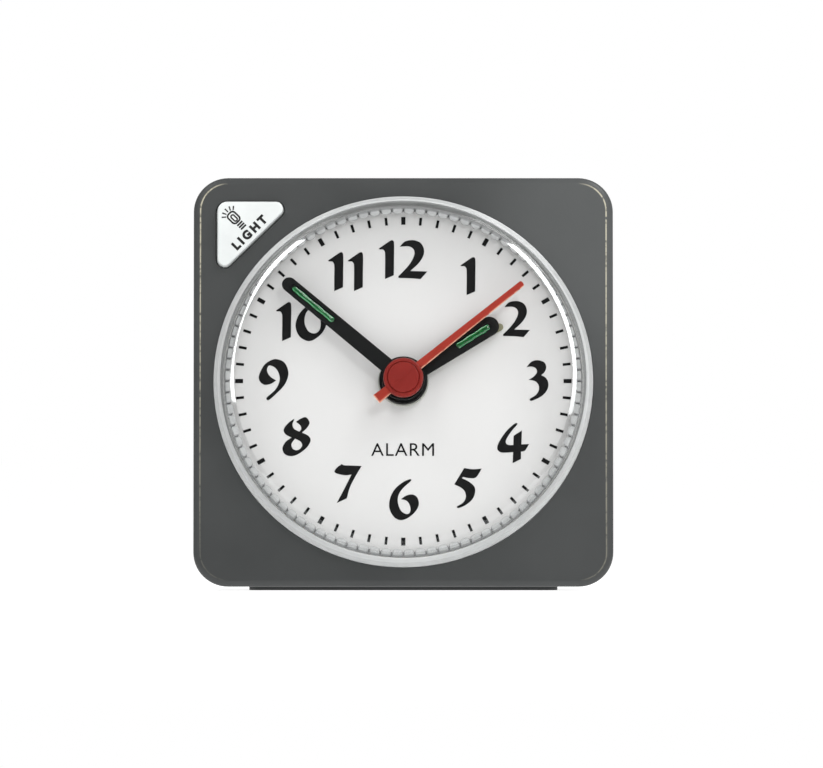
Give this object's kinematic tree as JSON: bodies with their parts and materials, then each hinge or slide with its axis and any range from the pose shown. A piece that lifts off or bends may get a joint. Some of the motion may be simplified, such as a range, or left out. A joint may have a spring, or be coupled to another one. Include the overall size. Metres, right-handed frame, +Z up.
{
  "type": "travel alarm clock",
  "caption": "Small square quartz alarm clock leaning back on its foot, with a round domed crystal, four hands, a corner snooze button, setting knobs and a battery door.",
  "frame": {"origin": "On the table, under the middle of the clock's bounding box, where it stands on its foot.", "axes": "+X to the right as the dial is read, +Y from the dial towards the back, +Z up. The face leans back 12.4 degrees."},
  "size_m": [0.058, 0.0444, 0.057],
  "materials": {
    "case": "satin dark grey moulded plastic",
    "clear": "clear acrylic",
    "dial": "matt white printed card",
    "button": "glossy white plastic with a printed lamp",
    "hand_black": "black paint with green luminous strips",
    "hand_red": "red plastic",
    "hand_khaki": "khaki paint",
    "gear": "natural acetal",
    "frame": "moulded movement frame",
    "knob": "dark moulded plastic",
    "steel": "plain steel",
    "copper": "enamelled copper winding",
    "board": "printed circuit board",
    "chip": "epoxy package",
    "contact": "sprung brass",
    "cell": "plain printed cell sleeve"
  },
  "bodies": {
    "case": {"front_shell": "case", "rear_shell": "case", "case_screw_1": "steel", "case_screw_2": "steel", "case_screw_3": "steel", "case_screw_4": "steel", "crystal": "clear", "light_ring": "clear", "dial": "dial", "movement_front_plate": "frame", "movement_rear_plate": "frame", "plate_screw_1": "steel", "plate_screw_2": "steel", "plate_screw_3": "steel", "stator": "steel", "coil": "copper", "coil_core": "steel", "circuit_board": "board", "clock_chip": "chip", "quartz_can": "steel", "buzzer": "contact", "lamp": "clear", "snooze_contact": "contact", "alarm_contact": "contact", "battery_cell": "cell", "battery_plate": "steel", "battery_spring": "steel"},
    "seconds": {"second_hand": "hand_red", "second_wheel": "gear"},
    "minutes": {"minute_hand": "hand_black", "centre_wheel": "gear"},
    "hours": {"hour_hand": "hand_black", "hour_wheel": "gear"},
    "third": {"third_wheel": "gear"},
    "fifth": {"fifth_wheel": "gear"},
    "stepper": {"rotor": "gear"},
    "motion": {"motion_wheel": "gear"},
    "time_setting": {"time_arbor": "gear", "time_knob": "knob"},
    "alarm": {"alarm_hand": "hand_khaki", "alarm_wheel": "gear"},
    "alarm_setting": {"alarm_arbor": "gear", "alarm_knob": "knob"},
    "button": {"snooze_button": "button"},
    "slider": {"alarm_switch": "knob"},
    "door": {"battery_door": "case"}
  },
  "joints": [
    {"name": "second_hand_spin", "type": "hinge", "parent": "case", "child": "seconds", "pos_m": [0, -0.01277, 0.02889], "axis": [0, 0.9767, -0.2147], "continuous": true},
    {"name": "minute_hand_spin", "type": "hinge", "parent": "case", "child": "minutes", "pos_m": [0, -0.01277, 0.02889], "axis": [0, 0.9767, -0.2147], "continuous": true},
    {"name": "hour_hand_spin", "type": "hinge", "parent": "case", "child": "hours", "pos_m": [0, -0.01277, 0.02889], "axis": [0, 0.9767, -0.2147], "continuous": true},
    {"name": "third_wheel_spin", "type": "hinge", "parent": "case", "child": "third", "pos_m": [-0.00636, -0.01414, 0.02268], "axis": [0, 0.9767, -0.2147], "continuous": true},
    {"name": "fifth_wheel_spin", "type": "hinge", "parent": "case", "child": "fifth", "pos_m": [0.00606, -0.01352, 0.02548], "axis": [0, 0.9767, -0.2147], "continuous": true},
    {"name": "rotor_spin", "type": "hinge", "parent": "case", "child": "stepper", "pos_m": [0.01197, -0.01375, 0.02444], "axis": [0, 0.9767, -0.2147], "continuous": true},
    {"name": "motion_wheel_spin", "type": "hinge", "parent": "case", "child": "motion", "pos_m": [0.00264, -0.01161, 0.03416], "axis": [0, 0.9767, -0.2147], "continuous": true},
    {"name": "time_knob_spin", "type": "hinge", "parent": "case", "child": "time_setting", "pos_m": [0.0085, -0.01133, 0.03544], "axis": [0, 0.9767, -0.2147], "continuous": true},
    {"name": "alarm_hand_spin", "type": "hinge", "parent": "case", "child": "alarm", "pos_m": [0, -0.01277, 0.02889], "axis": [0, 0.9767, -0.2147], "continuous": true},
    {"name": "alarm_knob_spin", "type": "hinge", "parent": "case", "child": "alarm_setting", "pos_m": [-0.0085, -0.01133, 0.03544], "axis": [0, 0.9767, -0.2147], "continuous": true},
    {"name": "snooze_press", "type": "slide", "parent": "case", "child": "button", "axis": [0, 0.9767, -0.2147], "range_m": [0, 0.001], "stiffness_N_per_m": 600, "springref_m": -0.0006},
    {"name": "alarm_switch_slide", "type": "slide", "parent": "case", "child": "slider", "axis": [0, 0.2147, 0.9767], "range_m": [0, 0.004]},
    {"name": "battery_door_lift", "type": "slide", "parent": "case", "child": "door", "axis": [0, 0.9767, -0.2147], "range_m": [0, 0.012]}
  ],
  "couplings": [
    {"joint": "minute_hand_spin", "follows": "second_hand_spin", "ratio": 0.016667},
    {"joint": "hour_hand_spin", "follows": "second_hand_spin", "ratio": 0.0013889},
    {"joint": "third_wheel_spin", "follows": "second_hand_spin", "ratio": -0.13333},
    {"joint": "fifth_wheel_spin", "follows": "second_hand_spin", "ratio": -6},
    {"joint": "rotor_spin", "follows": "second_hand_spin", "ratio": 30},
    {"joint": "motion_wheel_spin", "follows": "second_hand_spin", "ratio": -0.0055556},
    {"joint": "time_knob_spin", "follows": "second_hand_spin", "ratio": 0.016667},
    {"joint": "alarm_knob_spin", "follows": "alarm_hand_spin", "ratio": -0.8}
  ]
}
